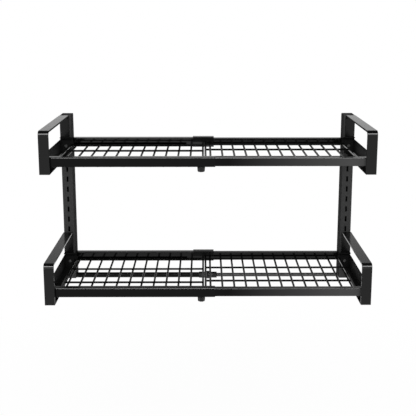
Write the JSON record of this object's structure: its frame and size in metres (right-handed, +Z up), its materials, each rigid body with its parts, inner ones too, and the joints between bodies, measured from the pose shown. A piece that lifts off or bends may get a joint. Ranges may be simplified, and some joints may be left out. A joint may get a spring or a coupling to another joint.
{
  "type": "pot and pan rack",
  "caption": "Wall-mounted tiered pot and pan rack: slotted posts carry hooked end frames and wire-deck trays that telescope in width, locked by thumb screws and a twist rod.",
  "frame": {"origin": "on the wall plane, midway between the posts at full width, level with the posts' feet", "axes": "+X to the right along the rack, +Y back into the wall, +Z up the posts"},
  "size_m": [0.64, 0.3, 0.3719],
  "materials": {
    "powder_coat": "semi-gloss black powder coat",
    "black_plastic": "satin moulded"
  },
  "bodies": {
    "left": {"post_left": "powder_coat", "rod_outer": "powder_coat", "lower_end_frame_left": "powder_coat", "lower_side_channel_left": "powder_coat", "lower_end_bar_left": "powder_coat", "lower_front_rail_outer": "powder_coat", "lower_rear_rail_outer": "powder_coat", "lower_deck_left": "powder_coat", "lower_rear_sleeve": "powder_coat"},
    "right": {"post_right": "powder_coat", "rod_inner": "powder_coat", "lower_end_frame_right": "powder_coat", "lower_side_channel_right": "powder_coat", "lower_end_bar_right": "powder_coat", "lower_front_rail_inner": "powder_coat", "lower_rear_rail_inner": "powder_coat", "lower_deck_right": "powder_coat"},
    "upper_left": {"upper_end_frame_left": "powder_coat", "upper_side_channel_left": "powder_coat", "upper_end_bar_left": "powder_coat", "upper_front_rail_outer": "powder_coat", "upper_rear_rail_outer": "powder_coat", "upper_deck_left": "powder_coat", "upper_rear_sleeve": "powder_coat"},
    "upper_right": {"upper_end_frame_right": "powder_coat", "upper_side_channel_right": "powder_coat", "upper_end_bar_right": "powder_coat", "upper_front_rail_inner": "powder_coat", "upper_rear_rail_inner": "powder_coat", "upper_deck_right": "powder_coat"},
    "lower_knob": {"lower_thumb_knob": "black_plastic"},
    "upper_knob": {"upper_thumb_knob": "black_plastic"},
    "rod_lock": {"rod_collar": "black_plastic"}
  },
  "joints": [
    {"name": "width_slide", "type": "slide", "parent": "left", "child": "right", "axis": [1, 0, 0], "range_m": [-0.24, 0]},
    {"name": "upper_height", "type": "slide", "parent": "left", "child": "upper_left", "axis": [0, 0, 1], "range_m": [-0.1356, 0]},
    {"name": "upper_width_slide", "type": "slide", "parent": "upper_left", "child": "upper_right", "axis": [1, 0, 0], "range_m": [-0.24, 0]},
    {"name": "lower_knob_turn", "type": "hinge", "parent": "left", "child": "lower_knob", "pos_m": [-0.013, -0.2825, 0.036], "axis": [0, 0, 1], "continuous": true},
    {"name": "upper_knob_turn", "type": "hinge", "parent": "upper_left", "child": "upper_knob", "pos_m": [-0.013, -0.2825, 0.296], "axis": [0, 0, 1], "continuous": true},
    {"name": "rod_collar_turn", "type": "hinge", "parent": "left", "child": "rod_lock", "pos_m": [0, -0.031, 0.0062], "axis": [1, 0, 0], "continuous": true}
  ],
  "couplings": [
    {"joint": "upper_width_slide", "follows": "width_slide", "ratio": 1}
  ]
}
